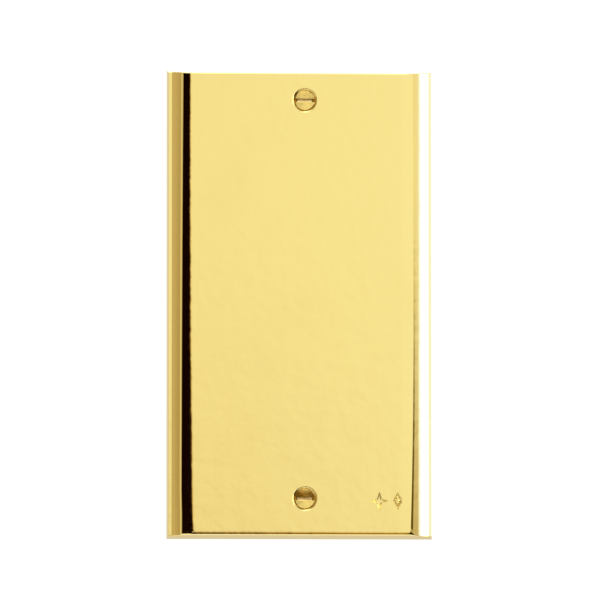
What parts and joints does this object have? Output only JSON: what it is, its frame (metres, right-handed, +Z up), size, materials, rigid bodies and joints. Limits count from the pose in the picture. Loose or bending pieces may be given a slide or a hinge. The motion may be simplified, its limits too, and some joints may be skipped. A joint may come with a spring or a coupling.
{
  "type": "kick plate",
  "caption": "Small upright solid brass door plate, mirror polished, with moulded long sides, punched ornaments and countersunk slotted wood screws.",
  "frame": {"origin": "middle of the flat back face, on the surface that it is fixed to", "axes": "+Z up the plate's long side, -Y out of the moulded face towards the user, +Y into the door, +X to the right as seen from the front"},
  "size_m": [0.085, 0.0257, 0.15],
  "materials": {
    "polished_brass": "mirror polished, unlacquered, hand finished",
    "screw_brass": "turned head lightly polished, shank and thread as rolled"
  },
  "bodies": {
    "plate": {"plate": "polished_brass"},
    "top_screw": {"top_screw": "screw_brass"},
    "bottom_screw": {"bottom_screw": "screw_brass"}
  },
  "joints": [
    {"name": "top_screw_turn", "type": "hinge", "parent": "plate", "child": "top_screw", "pos_m": [0.0014, 0, 0.0652], "axis": [0, 1, 0], "continuous": true},
    {"name": "bottom_screw_turn", "type": "hinge", "parent": "plate", "child": "bottom_screw", "pos_m": [0.0014, 0, -0.0623], "axis": [0, 1, 0], "continuous": true}
  ]
}
